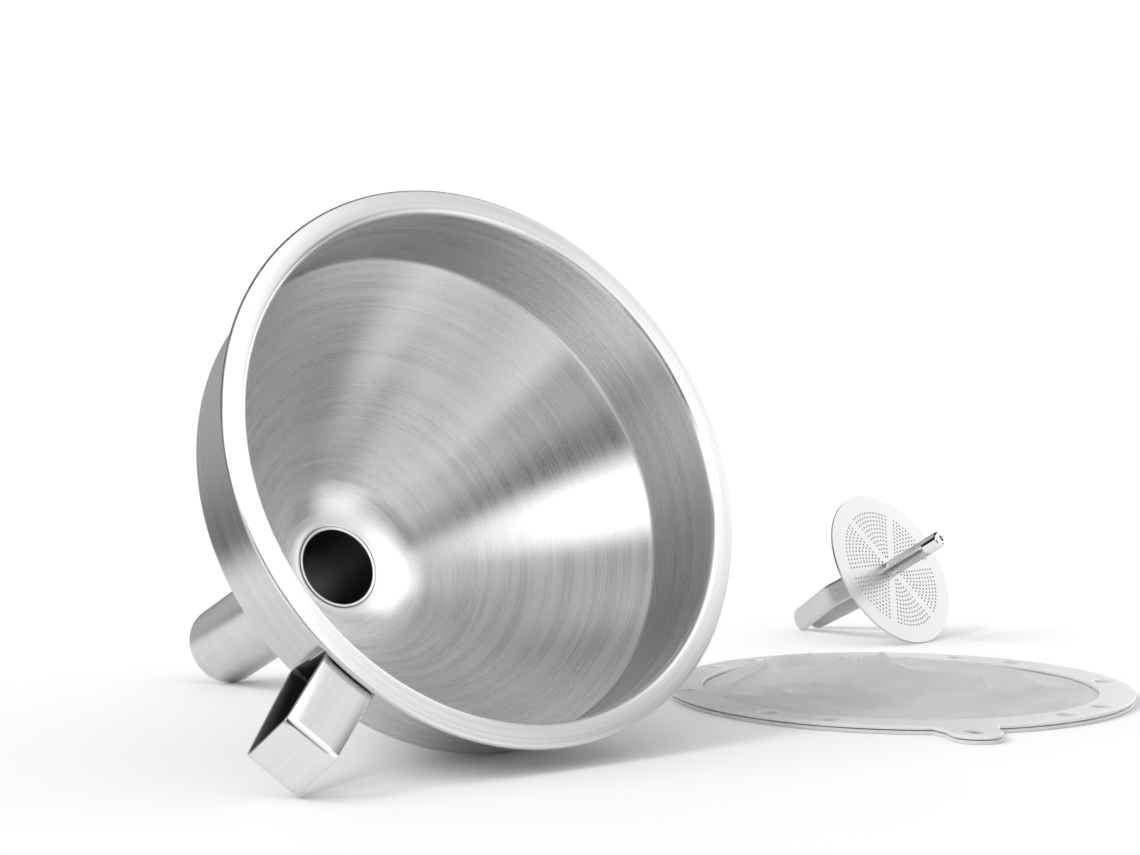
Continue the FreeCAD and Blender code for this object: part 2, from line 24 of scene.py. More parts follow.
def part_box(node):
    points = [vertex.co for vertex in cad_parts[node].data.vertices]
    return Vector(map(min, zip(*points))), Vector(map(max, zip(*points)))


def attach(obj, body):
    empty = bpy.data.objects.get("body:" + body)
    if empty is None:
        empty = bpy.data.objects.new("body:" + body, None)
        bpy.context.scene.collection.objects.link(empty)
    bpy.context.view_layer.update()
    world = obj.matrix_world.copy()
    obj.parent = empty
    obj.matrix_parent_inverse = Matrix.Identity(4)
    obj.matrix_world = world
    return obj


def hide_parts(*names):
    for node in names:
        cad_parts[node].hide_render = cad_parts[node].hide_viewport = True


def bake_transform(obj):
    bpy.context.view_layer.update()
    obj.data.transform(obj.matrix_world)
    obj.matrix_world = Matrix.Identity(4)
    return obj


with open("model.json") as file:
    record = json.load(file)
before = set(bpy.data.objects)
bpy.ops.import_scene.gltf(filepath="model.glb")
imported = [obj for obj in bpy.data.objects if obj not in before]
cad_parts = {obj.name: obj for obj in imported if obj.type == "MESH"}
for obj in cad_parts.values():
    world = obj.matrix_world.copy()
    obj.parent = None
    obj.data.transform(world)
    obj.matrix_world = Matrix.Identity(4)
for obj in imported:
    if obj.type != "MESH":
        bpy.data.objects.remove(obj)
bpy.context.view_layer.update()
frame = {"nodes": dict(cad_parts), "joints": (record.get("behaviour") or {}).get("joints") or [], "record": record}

log = logging.getLogger("funnel_set")

Socket = bpy.types.NodeSocket

MM = 0.001
FULL_TURN = 2 * math.pi

# A point this near to a place, in metres, counts as in it.
NEAR = 1e-5
MERGE_WITHIN = 1e-7

# The height in metres that a bump strength of 1 stands for.
BUMP_HEIGHT = 0.05 * MM

# Segments in a strip's bend, and the shortest edge that runs across a strip.
BEND_SEGMENTS = 8
ACROSS_AT_LEAST = 1 * MM

# A live edge bevel rounds edges that turn by more than this, in degrees.
SOFT_EDGE_TURN = 40.0


# ------------------------------------------------------------------------------------ own frames
@dataclass(frozen=True)
class OwnFrame:
    """An upright piece's own frame as it lies in the row frame."""

    origin: Vector
    x: Vector
    z: Vector

    @property
    def matrix(self) -> Matrix:
        """The matrix that lays a piece from its own frame into the row frame.

        Returns:
            The matrix.
        """
        y = self.z.cross(self.x)
        turn = Matrix((self.x, y, self.z)).transposed().to_4x4()
        return Matrix.Translation(self.origin) @ turn


def mount(name: str) -> tuple[Vector, Vector]:
    """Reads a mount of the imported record.

    Args:
        name: the mount's name.

    Returns:
        Its place and its axis in the row frame.
    """
    for entry in frame["record"]["mounts"]:
        if entry["name"] == name:
            return Vector(entry["pos_m"]), Vector(entry["axis"]).normalized()
    raise KeyError(name)


def hinge(name: str) -> tuple[Vector, Vector]:
    """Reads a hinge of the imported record.

    Args:
        name: the joint's name.

    Returns:
        A point on its axis and the axis in the row frame.
    """
    for entry in frame["joints"]:
        if entry["name"] == name:
            return Vector(entry["pos_m"]), Vector(entry["axis"]).normalized()
    raise KeyError(name)


# -------------------------------------------------------------------------------------- finishes
class Grain(Enum):
    """The way that fine scratches run on a piece of metal."""

    ROUND = "round"
    ALONG = "along"


class Nodes:
    """A small helper that adds shader nodes and joins them."""

    def __init__(self, name: str) -> None:
        """Starts an empty material.

        Args:
            name: the material's name.
        """
        self.material = bpy.data.materials.new(name)
        self.material.use_nodes = True
        self.tree = self.material.node_tree
        self.tree.nodes.clear()
        self.output = self.tree.nodes.new("ShaderNodeOutputMaterial")

    def add(self, kind: str, **settings: object) -> bpy.types.Node:
        """Adds a node.

        Args:
            kind: the node's type without its ShaderNode prefix.
            settings: attributes of the node, set by name.

        Returns:
            The new node.
        """
        node = self.tree.nodes.new("ShaderNode" + kind)
        for key, value in settings.items():
            setattr(node, key, value)
        return node

    def join(self, source: Socket, target: Socket) -> None:
        """Links an output socket to an input socket."""
        self.tree.links.new(source, target)

    def math(self, operation: str, a: Socket | float, b: Socket | float = 0.0) -> Socket:
        """Adds a math node.

        Args:
            operation: the math node's operation.
            a: a socket or a number.
            b: a socket or a number.

        Returns:
            The node's output socket.
        """
        node = self.add("Math", operation=operation)
        for socket, value in zip(node.inputs, (a, b)):
            if isinstance(value, (int, float)):
                socket.default_value = value
            else:
                self.join(value, socket)
        return node.outputs[0]

    def noise(self, vector: Socket, scale: float, detail: float, roughness: float = 0.5) -> Socket:
        """Adds a noise texture.

        Args:
            vector: the socket with its coordinates.
            scale: how many features there are in a unit.
            detail: the number of octaves.
            roughness: how strong the fine octaves are.

        Returns:
            The socket with the noise's value.
        """
        node = self.add("TexNoise")
        node.inputs["Scale"].default_value = scale
        node.inputs["Detail"].default_value = detail
        node.inputs["Roughness"].default_value = roughness
        self.join(vector, node.inputs["Vector"])
        return node.outputs["Fac"]

    def spread(self, value: Socket, low: float, high: float, a: float = 0.3, b: float = 0.7) -> Socket:
        """Maps a value from one range to another.

        Args:
            value: the socket with the value.
            low: the result at a.
            high: the result at b.
            a: the lower end of the value's range.
            b: the upper end of the value's range.

        Returns:
            The socket with the result.
        """
        node = self.add("MapRange")
        for key, number in (("From Min", a), ("From Max", b), ("To Min", low), ("To Max", high)):
            node.inputs[key].default_value = number
        self.join(value, node.inputs["Value"])
        return node.outputs["Result"]

    def grey(self, value: Socket, tint: Sequence[float]) -> Socket:
        """Turns a value into a colour.

        Args:
            value: the socket with the brightness.
            tint: the colour at brightness 1.

        Returns:
            The socket with the colour.
        """
        node = self.add("Mix", data_type="RGBA", blend_type="MIX")
        colours = [s for s in node.inputs if s.type == "RGBA"]
        colours[0].default_value = (0, 0, 0, 1)
        colours[1].default_value = (*tint, 1)
        self.join(value, node.inputs[0])
        return [s for s in node.outputs if s.type == "RGBA"][0]

    def bump(self, height: Socket, strength: float, distance: float = BUMP_HEIGHT) -> Socket:
        """Adds a bump node.

        Args:
            height: the socket with the height.
            strength: the bump's strength.
            distance: the height's size in metres.

        Returns:
            The socket with the bumped normal.
        """
        node = self.add("Bump")
        node.inputs["Strength"].default_value = strength
        node.inputs["Distance"].default_value = distance
        self.join(height, node.inputs["Height"])
        return node.outputs["Normal"]

    def scaled(self, vector: Socket, scale: Sequence[float]) -> Socket:
        """Stretches coordinates.

        Args:
            vector: the socket with the coordinates.
            scale: the factor on each axis.

        Returns:
            The socket with the stretched coordinates.
        """
        node = self.add("Mapping")
        node.inputs["Scale"].default_value = scale
        self.join(vector, node.inputs["Vector"])
        return node.outputs["Vector"]


@dataclass(frozen=True)
class SteelFinish:
    """Stainless steel with scratches that run one way.

    The piece's UV map runs along the scratches in U, as a share of a full turn for round grain
    and in metres otherwise, and across them in V, in metres.
    """

    name: str
    tint: tuple[float, float, float] = (0.72, 0.72, 0.725)
    grain: Grain = Grain.ROUND
    roughness: float = 0.28
    anisotropy: float = 0.94
    scratch_depth: float = 0.015
    scratch_shade: float = 0.12
    scratches_per_metre: float = 1500.0
    breaks_in_turn: float = 1.1
    breaks_per_metre: float = 60.0
    band_stretch: tuple[float, float, float] = (0.7, 0.7, 0.22)
    band_share: float = 0.38
    contrast: tuple[float, float] = (0.36, 0.64)
    roughness_swing: float = 0.07
    quarter_turn: float = 0.25

    def build(self) -> bpy.types.Material:
        """Makes the material.

        Returns:
            The material.
        """
        n = Nodes(self.name)
        shader = n.add("BsdfPrincipled")
        uv = n.add("UVMap", uv_map="grain").outputs["UV"]
        split = n.add("SeparateXYZ")
        n.join(uv, split.inputs[0])
        u, v = split.outputs[0], split.outputs[1]
        place = n.add("CombineXYZ")
        if self.grain is Grain.ROUND:
            turn = n.math("MULTIPLY", u, FULL_TURN)
            n.join(n.math("MULTIPLY", n.math("COSINE", turn), self.breaks_in_turn), place.inputs[0])
            n.join(n.math("MULTIPLY", n.math("SINE", turn), self.breaks_in_turn), place.inputs[1])
        else:
            n.join(n.math("MULTIPLY", u, self.breaks_per_metre), place.inputs[0])
        n.join(n.math("MULTIPLY", v, self.scratches_per_metre), place.inputs[2])
        fine = n.math("MULTIPLY", n.noise(place.outputs[0], 1.0, 1.0), 1.0 - self.band_share)
        band = n.noise(n.scaled(place.outputs[0], self.band_stretch), 1.0, 0.0)
        both = n.math("ADD", fine, n.math("MULTIPLY", band, self.band_share))
        shade = n.spread(both, 1.0 - self.scratch_shade, 1.0, *self.contrast)
        n.join(n.grey(shade, self.tint), shader.inputs["Base Color"])
        smooth, rough = (self.roughness * (1 + s * self.roughness_swing) for s in (-1, 1))
        n.join(n.spread(both, smooth, rough, *self.contrast), shader.inputs["Roughness"])
        n.join(n.bump(both, self.scratch_depth), shader.inputs["Normal"])
        shader.inputs["Metallic"].default_value = 1.0
        shader.inputs["Anisotropic"].default_value = self.anisotropy
        shader.inputs["Anisotropic Rotation"].default_value = self.quarter_turn
        tangent = n.add("Tangent", direction_type="UV_MAP", uv_map="grain")
        n.join(tangent.outputs[0], shader.inputs["Tangent"])
        n.join(shader.outputs[0], n.output.inputs[0])
        return n.material


@dataclass(frozen=True)
class PlainSteelFinish:
    """Steel without a visible direction, for CAD nodes and welds."""

    name: str
    tint: tuple[float, float, float] = (0.75, 0.75, 0.75)
    roughness: float = 0.2
    wear: float = 0.06
    grain_scale: float = 900.0
    cloud_scale: float = 160.0
    roughness_range: tuple[float, float] = (0.8, 1.25)
    bump: float = 0.05

    def build(self) -> bpy.types.Material:
        """Makes the material.

        Returns:
            The material.
        """
        n = Nodes(self.name)
        shader = n.add("BsdfPrincipled")
        place = n.add("TexCoord").outputs["Object"]
        fine = n.noise(place, self.grain_scale, 3.0, 0.6)
        cloud = n.noise(place, self.cloud_scale, 2.0)
        both = n.math("ADD", n.math("MULTIPLY", fine, 0.5), n.math("MULTIPLY", cloud, 0.5))
        n.join(n.grey(n.spread(both, 1.0 - self.wear, 1.0), self.tint), shader.inputs["Base Color"])
        smooth, rough = (self.roughness * share for share in self.roughness_range)
        n.join(n.spread(both, smooth, rough), shader.inputs["Roughness"])
        n.join(n.bump(fine, self.bump), shader.inputs["Normal"])
        shader.inputs["Metallic"].default_value = 1.0
        n.join(shader.outputs[0], n.output.inputs[0])
        return n.material


@dataclass(frozen=True)
class MilkyPlasticFinish:
    """Thin milky plastic that lets a little light through."""

    name: str
    tint: tuple[float, float, float] = (0.78, 0.785, 0.785)
    roughness: float = 0.38
    roughness_swing: float = 0.15
    cloud_scale: float = 70.0
    cloud_shade: float = 0.07
    grain_scale: float = 1600.0
    bump: float = 0.06
    translucency: float = 0.35
    scatter_depth: float = 3 * MM

    def build(self) -> bpy.types.Material:
        """Makes the material.

        Returns:
            The material.
        """
        n = Nodes(self.name)
        shader = n.add("BsdfPrincipled")
        place = n.add("TexCoord").outputs["Object"]
        cloud = n.noise(place, self.cloud_scale, 3.0, 0.55)
        grain = n.noise(place, self.grain_scale, 2.0)
        n.join(n.grey(n.spread(cloud, 1.0 - self.cloud_shade, 1.0), self.tint), shader.inputs["Base Color"])
        smooth, rough = (self.roughness * (1 + s * self.roughness_swing) for s in (-1, 1))
        n.join(n.spread(cloud, smooth, rough), shader.inputs["Roughness"])
        n.join(n.bump(grain, self.bump), shader.inputs["Normal"])
        shader.inputs["Subsurface Weight"].default_value = self.translucency
        shader.inputs["Subsurface Radius"].default_value = (1.0, 1.0, 1.0)
        shader.inputs["Subsurface Scale"].default_value = self.scatter_depth
        n.join(shader.outputs[0], n.output.inputs[0])
        return n.material


@dataclass(frozen=True)
class FineMeshFinish:
    """Fine woven cloth: two sets of threads with gaps that show what lies behind."""

    name: str
    tint: tuple[float, float, float] = (0.70, 0.70, 0.705)
    threads_per_metre: float = 4000.0
    gap_cover: float = 0.50
    thread_cover: float = 0.90
    thread_bump: float = 0.15
    thread_depth: float = 0.04 * MM
    cloud_scale: float = 90.0
    cloud_shade: float = 0.05
    roughness: float = 0.55
    sheen: float = 0.3
    sheen_roughness: float = 0.4

    def build(self) -> bpy.types.Material:
        """Makes the material.

        Returns:
            The material.
        """
        n = Nodes(self.name)
        shader = n.add("BsdfPrincipled")
        uv = n.add("UVMap", uv_map="weave").outputs["UV"]
        split = n.add("SeparateXYZ")
        n.join(uv, split.inputs[0])
        waves = []
        for axis in (0, 1):
            turn = n.math("MULTIPLY", split.outputs[axis], self.threads_per_metre * math.pi)
            waves.append(n.math("ABSOLUTE", n.math("SINE", turn)))
        thread = n.math("MAXIMUM", waves[0], waves[1])
        cloud = n.noise(n.add("TexCoord").outputs["Object"], self.cloud_scale, 3.0, 0.55)
        n.join(n.grey(n.spread(cloud, 1.0 - self.cloud_shade, 1.0), self.tint), shader.inputs["Base Color"])
        n.join(n.spread(thread, self.gap_cover, self.thread_cover, 0.3, 1.0), shader.inputs["Alpha"])
        n.join(n.bump(thread, self.thread_bump, self.thread_depth), shader.inputs["Normal"])
        shader.inputs["Roughness"].default_value = self.roughness
        shader.inputs["Sheen Weight"].default_value = self.sheen
        shader.inputs["Sheen Roughness"].default_value = self.sheen_roughness
        n.join(shader.outputs[0], n.output.inputs[0])
        return n.material


@dataclass(frozen=True)
class TableFinish:
    """The plain pale table."""

    name: str
    tint: tuple[float, float, float] = (0.97, 0.97, 0.97)
    roughness: float = 0.6

    def build(self) -> bpy.types.Material:
        """Makes the material.

        Returns:
            The material.
        """
        n = Nodes(self.name)
        shader = n.add("BsdfPrincipled")
        shader.inputs["Base Color"].default_value = (*self.tint, 1)
        shader.inputs["Roughness"].default_value = self.roughness
        shader.inputs["Specular IOR Level"].default_value = 0.0
        n.join(shader.outputs[0], n.output.inputs[0])
        return n.material


# ------------------------------------------------------------------------------- mesh operations
def place_mesh(
    bm: bmesh.types.BMesh,
    name: str,
    lay: OwnFrame,
    material: bpy.types.Material,
    sharp_degrees: float = 30.0,
) -> bpy.types.Object:
    """Lays a mesh in the row frame and makes an object of it.

    Args:
        bm: the mesh in its own frame; it is freed.
        name: the piece's name.
        lay: where the piece lies.
        material: its finish.
        sharp_degrees: edges that turn by more than this stay sharp.

    Returns:
        The new object, at the origin.
    """
    bmesh.ops.transform(bm, matrix=lay.matrix, verts=bm.verts)
    mesh = bpy.data.meshes.new(name)
    bm.to_mesh(mesh)
    bm.free()
    mesh.materials.append(material)
    for polygon in mesh.polygons:
        polygon.use_smooth = True
    mesh.set_sharp_from_angle(angle=math.radians(sharp_degrees))
    piece = bpy.data.objects.new(name, mesh)
    bpy.context.scene.collection.objects.link(piece)
    return piece


def wire(points: Iterable[Sequence[float]]) -> bmesh.types.BMesh:
    """Starts a mesh with an open line.

    Args:
        points: the line's points.

    Returns:
        A mesh that holds the line.
    """
    bm = bmesh.new()
    verts = [bm.verts.new(p) for p in points]
    for a, b in zip(verts, verts[1:]):
        bm.edges.new((a, b))
    return bm


def spin_line(points: Sequence[tuple[float, float]], steps: int, closed: bool) -> bmesh.types.BMesh:
    """Turns a line about the axis.

    Args:
        points: (distance from the axis, height) of each point.
        steps: how many parts the turn has.
        closed: whether the last point joins the first.

    Returns:
        The turned surface.
    """
    bm = wire((r, 0.0, z) for r, z in points)
    bm.verts.ensure_lookup_table()
    if closed:
        bm.edges.new((bm.verts[-1], bm.verts[0]))
    bmesh.ops.spin(
        bm,
        geom=list(bm.verts) + list(bm.edges),
        cent=(0, 0, 0),
        axis=(0, 0, 1),
        angle=FULL_TURN,
        steps=steps,
        use_merge=True,
    )
    bmesh.ops.remove_doubles(bm, verts=bm.verts, dist=MERGE_WITHIN)
    bmesh.ops.recalc_face_normals(bm, faces=bm.faces)
    return bm


def round_rings(bm: bmesh.types.BMesh, corners: Iterable[tuple[float, float, float, int]]) -> None:
    """Rounds the ring-shaped edges of a turned surface.

    Args:
        bm: the surface.
        corners: (distance from the axis, height, setback, segments) of each ring.
    """
    for radius, height, setback, segments in corners:
        ring = [
            e
            for e in bm.edges
            if all(
                abs(math.hypot(v.co.x, v.co.y) - radius) < NEAR and abs(v.co.z - height) < NEAR
                for v in e.verts
            )
        ]
        bevel(bm, ring, setback, segments)


def bevel(bm: bmesh.types.BMesh, edges: list, setback: float, segments: int) -> None:
    """Rounds edges.

    Args:
        bm: the mesh.
        edges: the edges to round.
        setback: how far along the faces beside an edge its round starts.
        segments: how many parts the round has.
    """
    bmesh.ops.bevel(
        bm,
        geom=edges,
        offset=setback,
        offset_type="OFFSET",
        affect="EDGES",
        segments=segments,
        profile=0.5,
        material=-1,
    )


def map_round(bm: bmesh.types.BMesh) -> None:
    """Gives a turned piece its grain map: U round the axis, V along the section.

    Args:
        bm: the turned piece, upright on its axis.
    """
    layer = bm.loops.layers.uv.new("grain")
    for face in bm.faces:
        middle = face.calc_center_median()
        start = math.atan2(middle.y, middle.x)
        for loop in face.loops:
            co = loop.vert.co
            turn = math.atan2(co.y, co.x) - start
            turn = (turn + math.pi) % FULL_TURN - math.pi
            loop[layer].uv = ((start + turn) / FULL_TURN, math.hypot(co.x, co.y) + co.z)


def setback(a: Sequence[float], b: Sequence[float], c: Sequence[float], radius: float) -> float:
    """How far a rounded corner's tangent points stand from the corner.

    Args:
        a: the point before the corner.
        b: the corner.
        c: the point after it.
        radius: the round's radius.

    Returns:
        The distance along either side.
    """
    first = Vector((b[0] - a[0], b[1] - a[1]))
    second = Vector((c[0] - b[0], c[1] - b[1]))
    return radius * math.tan(first.angle(second) / 2)


def smooth_edges(piece: bpy.types.Object, width: float, segments: int = 2) -> None:
    """Adds a small live bevel to a piece's sharp edges.

    Args:
        piece: the piece.
        width: the bevel's width.
        segments: how many parts the bevel has.
    """
    mod = piece.modifiers.new("soft_edges", "BEVEL")
    mod.width = width
    mod.segments = segments
    mod.limit_method = "ANGLE"
    mod.angle_limit = math.radians(SOFT_EDGE_TURN)


def thicken(piece: bpy.types.Object, sheet: float, offset: float) -> bpy.types.Modifier:
    """Gives a surface its sheet's thickness.

    Args:
        piece: the piece, a single surface.
        sheet: the thickness.
        offset: -1 to grow behind the surface, 0 to grow both ways.

    Returns:
        The live modifier.
    """
    wall = piece.modifiers.new("sheet", "SOLIDIFY")
    wall.thickness = sheet
    wall.offset = offset
    wall.use_even_offset = True
    return wall


def new_verts(made: dict) -> list[bmesh.types.BMVert]:
    """The vertices that an operator made."""
    return [g for g in made["geom"] if isinstance(g, bmesh.types.BMVert)]


def strip(line: Sequence[tuple[float, float]], width: float, cuts: int) -> bmesh.types.BMesh:
    """Draws a line out into a strip, with its middle in the section plane.

    Args:
        line: (distance from the axis, height) of each point.
        width: the strip's width.
        cuts: how many cuts run along it.

    Returns:
        The strip, its bends still sharp.
    """
    bm = wire((r, -width / 2, z) for r, z in line)
    made = bmesh.ops.extrude_edge_only(bm, edges=list(bm.edges))
    bmesh.ops.translate(bm, verts=new_verts(made), vec=(0, width, 0))
    across = [e for e in bm.edges if abs(e.verts[0].co.y - e.verts[1].co.y) > ACROSS_AT_LEAST]
    bmesh.ops.subdivide_edges(bm, edges=across, cuts=cuts)
    return bm


def bend(
    bm: bmesh.types.BMesh, line: Sequence[tuple[float, float]], bends: Iterable[tuple[int, float]]
) -> None:
    """Rounds a strip's bends.

    Args:
        bm: the strip.
        line: the line that it was drawn from.
        bends: the number of the line's point and the radius of each bend.
    """
    for i, radius in bends:
        x, z = line[i]
        back = setback(line[i - 1], line[i], line[i + 1], radius)
        edges = [
            e for e in bm.edges if all(math.hypot(v.co.x - x, v.co.z - z) < NEAR for v in e.verts)
        ]
        bevel(bm, edges, back, BEND_SEGMENTS)


def finish_strip(bm: bmesh.types.BMesh) -> None:
    """Turns a strip's faces away from the axis and gives it its grain map, U along and V across.

    Args:
        bm: the strip.
    """
    bmesh.ops.recalc_face_normals(bm, faces=bm.faces)
    furthest = max(bm.faces, key=lambda f: f.calc_center_median().x)
    if furthest.normal.x < 0:
        bmesh.ops.reverse_faces(bm, faces=bm.faces)
    layer = bm.loops.layers.uv.new("grain")
    for face in bm.faces:
        for loop in face.loops:
            co = loop.vert.co
            loop[layer].uv = (co.x - co.z, co.y)


# ---------------------------------------------------------------------------------------- funnel
@dataclass
class Funnel:
    """The spun funnel with its spout, weld and carrying loop. Sizes are in metres."""

    rim_radius: float = 65.0 * MM
    wall_radius: float = 59.2 * MM
    wall_depth: float = 23.6 * MM
    sheet: float = 0.6 * MM
    throat_depth: float = 72.2 * MM
    bottom_round: float = 14.0 * MM
    bottom_flat: float = 0.1 * MM
    lip_round: float = 0.7 * MM
    shoulder_round: float = 2.0 * MM
    mouth_round: float = 1.4 * MM
    hem_round: float = 0.75 * MM
    hem_width: float = 3.4 * MM
    collar_radius: float = 10.18 * MM
    collar_length: float = 4.3 * MM
    height: float = 135.0 * MM
    spout_radius: float = 10.35 * MM
    spout_bore: float = 9.45 * MM
    spout_seat: float = 10.15 * MM
    spout_edge: float = 0.3 * MM
    gap: float = 0.03 * MM
    weld_leg: float = 0.9 * MM
    weld_clearance: float = 0.3 * MM
    loop_width: float = 12.9 * MM
    loop_sheet: float = 1.0 * MM
    loop_crease: float = 17.2 * MM
    loop_tip: float = 23.6 * MM
    loop_tip_depth: float = 10.6 * MM
    loop_hem_clearance: float = 0.3 * MM
    loop_foot: float = 8.0 * MM
    loop_bend: float = 1.3 * MM
    loop_inner_foot: float = 2.4 * MM
    loop_edge: float = 0.22 * MM
    wall_parts: int = 288
    tube_parts: int = 144
    weld_parts: int = 240
    hem_ease: float = 0.97
    weld_drop: float = 1.35
    weld_room: float = 1.4
    weld_arc: int = 6
    weld_ripples: int = 40
    ripple_depth: float = 0.1
    spot_radius: float = 1.4 * MM
    spot_rise: float = 0.15 * MM
    spot_apart: float = 2.8 * MM
    spot_drop: float = 1.0 * MM
    body_finish: SteelFinish = field(default_factory=lambda: SteelFinish("spun_steel_skin"))
    tube_finish: SteelFinish = field(
        default_factory=lambda: SteelFinish("tube_steel_skin", roughness=0.3, anisotropy=0.6)
    )
    # The bore's steel is painted dark: painted shade for the dark inside the tube, not the steel's own colour.
    bore_painted_shade_finish: SteelFinish = field(
        default_factory=lambda: SteelFinish(
            "tube_bore_painted_shade_skin", tint=(0.2, 0.2, 0.2), roughness=0.34, anisotropy=0.5
        )
    )
    loop_finish: SteelFinish = field(
        default_factory=lambda: SteelFinish(
            "strip_steel_skin",
            grain=Grain.ALONG,
            roughness=0.16,
            anisotropy=0.3,
            scratch_shade=0.05,
            tint=(0.78, 0.78, 0.78),
        )
    )
    # The loop's inside faces are painted dark: painted shade for the shade inside the loop; the real strip is the
    # same steel on both sides.
    loop_inside_painted_shade_finish: SteelFinish = field(
        default_factory=lambda: SteelFinish(
            "strip_inside_painted_shade_skin", grain=Grain.ALONG, tint=(0.17, 0.17, 0.17), roughness=0.3, anisotropy=0.3
        )
    )
    weld_finish: PlainSteelFinish = field(
        default_factory=lambda: PlainSteelFinish("weld_bead_skin", (0.52, 0.51, 0.5), 0.36, 0.18)
    )

    def __post_init__(self) -> None:
        """Finds the funnel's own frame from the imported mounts."""
        seat, axis = mount("filter_seat")
        down = Vector((axis.z, 0.0, -axis.x))
        self.lay = OwnFrame(seat + axis * self.wall_depth, down, axis)
        place, _ = mount("hang_loop")
        own = self.lay.matrix.inverted() @ place
        self.loop_turn = math.atan2(own.y, own.x)

    def body_line(self) -> list[tuple[float, float]]:
        """The inside line of the sheet, from the collar's end to the end of the hem.

        Returns:
            (distance from the axis, height) of each corner.
        """
        start = self.collar_radius + self.lip_round + self.bottom_flat
        corner = start + self.bottom_round / 2
        # The corner and the cone's slope depend on each other, and settle well within these rounds.
        rounds_to_settle = 40
        for _ in range(rounds_to_settle):
            turn = math.atan2(self.throat_depth - self.wall_depth, self.wall_radius - corner)
            corner = start + self.bottom_round * math.tan(turn / 2)
        return [
            (self.collar_radius, -self.throat_depth - self.collar_length),
            (self.collar_radius, -self.throat_depth),
            (corner, -self.throat_depth),
            (self.wall_radius, -self.wall_depth),
            (self.wall_radius, 0.0),
            (self.rim_radius, 0.0),
            (self.rim_radius, -2 * self.hem_round),
            (self.rim_radius - self.hem_width, -2 * self.hem_round),
        ]

    def make_body(self) -> bpy.types.Object:
        """Spins the sheet and gives it its rounds and its thickness.

        Returns:
            The new piece.
        """
        line = self.body_line()
        bm = spin_line(line, self.wall_parts, False)
        cone_top, cone_end = -25 * MM, -65 * MM
        on_cone = next(f for f in bm.faces if cone_end < f.calc_center_median().z < cone_top)
        middle = on_cone.calc_center_median()
        if on_cone.normal.dot(Vector((-middle.x, -middle.y, 0))) < 0:
            bmesh.ops.reverse_faces(bm, faces=bm.faces)
        # The radius, the segments and the share of the full setback of each corner's round.
        rounds = (
            (self.lip_round, 4, 1.0),
            (self.bottom_round, 16, 1.0),
            (self.shoulder_round, 6, 1.0),
            (self.mouth_round, 6, 1.0),
            (self.hem_round, 5, self.hem_ease),
            (self.hem_round, 5, self.hem_ease),
        )
        for i, (radius, count, share) in enumerate(rounds, start=1):
            back = setback(line[i - 1], line[i], line[i + 1], radius) * share
            round_rings(bm, [(*line[i], back, count)])
        map_round(bm)
        piece = place_mesh(bm, "funnel_wall", self.lay, self.body_finish.build(), 50.0)
        thicken(piece, self.sheet, -1.0)
        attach(piece, "funnel")
        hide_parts("funnel_body")
        return piece

    def make_spout(self) -> bpy.types.Object:
        """Turns the tube with its stepped end and rounded lips.

        Returns:
            The new piece.
        """
        step = -self.throat_depth - self.collar_length - self.gap
        step -= self.weld_room * self.weld_leg + self.weld_clearance
        end = -self.height
        points = [
            (self.spout_bore, -self.throat_depth),
            (self.spout_seat, -self.throat_depth),
            (self.spout_seat, step),
            (self.spout_radius, step),
            (self.spout_radius, end),
            (self.spout_bore, end),
        ]
        bm = spin_line(points, self.tube_parts, True)
        round_rings(bm, [(*points[i], self.spout_edge, 4) for i in (0, 4, 5)])
        # The bore's faces take the second slot, the dark steel with painted shade.
        map_round(bm)
        for face in bm.faces:
            middle = face.calc_center_median()
            if math.hypot(middle.x, middle.y) < self.spout_bore + NEAR:
                face.material_index = 1
        piece = place_mesh(bm, "spout_pipe", self.lay, self.tube_finish.build(), 40.0)
        piece.data.materials.append(self.bore_painted_shade_finish.build())
        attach(piece, "funnel")
        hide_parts("spout_tube")
        return piece

    def make_weld(self) -> bpy.types.Object:
        """Turns the weld bead and gives it its ripples.

        Returns:
            The new piece.
        """
        top = -self.throat_depth - self.collar_length - self.gap
        inner = self.collar_radius
        leg = self.weld_leg
        points = [(inner, top)]
        for k in range(self.weld_arc + 1):
            turn = math.pi / 2 * k / self.weld_arc
            points.append((inner + leg * math.cos(turn), top - self.weld_drop * leg * math.sin(turn)))
        bm = spin_line(points, self.weld_parts, True)
        rippled_past = inner + 0.1 * MM
        for vert in bm.verts:
            radius = math.hypot(vert.co.x, vert.co.y)
            if radius > rippled_past:
                turn = math.atan2(vert.co.y, vert.co.x)
                ripple = 0.5 + 0.5 * math.cos(self.weld_ripples * turn + 1.3 * math.sin(3 * turn))
                scale = 1 - self.ripple_depth * leg / radius * ripple
                vert.co.x *= scale
                vert.co.y *= scale
        piece = place_mesh(bm, "spout_weld_bead", self.lay, self.weld_finish.build())
        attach(piece, "funnel")
        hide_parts("spout_weld")
        return piece

    def loop_line(self) -> list[tuple[float, float]]:
        """The middle of the loop's strip, from foot to foot, in its own section plane.

        Returns:
            (distance from the axis, height) of each corner.
        """
        half = self.loop_sheet / 2
        outside = self.wall_radius + self.sheet
        inner_foot = outside + self.gap + half
        outer_foot = inner_foot + self.loop_sheet + self.gap
        rise = 2 * self.hem_round
        fall = math.atan2(rise, self.loop_crease)
        fall += math.asin((half + self.loop_hem_clearance) / math.hypot(self.loop_crease, rise))
        crease = self.rim_radius + self.loop_crease
        top = -(crease - outer_foot) * math.tan(fall)
        low = -self.wall_depth + self.shoulder_round + half
        return [
            (inner_foot, top - self.loop_bend - self.loop_inner_foot),
            (inner_foot, low),
            (self.rim_radius + self.loop_tip, -self.loop_tip_depth),
            (crease, 0.0),
            (outer_foot, top),
            (outer_foot, top - self.loop_bend - self.loop_foot),
        ]

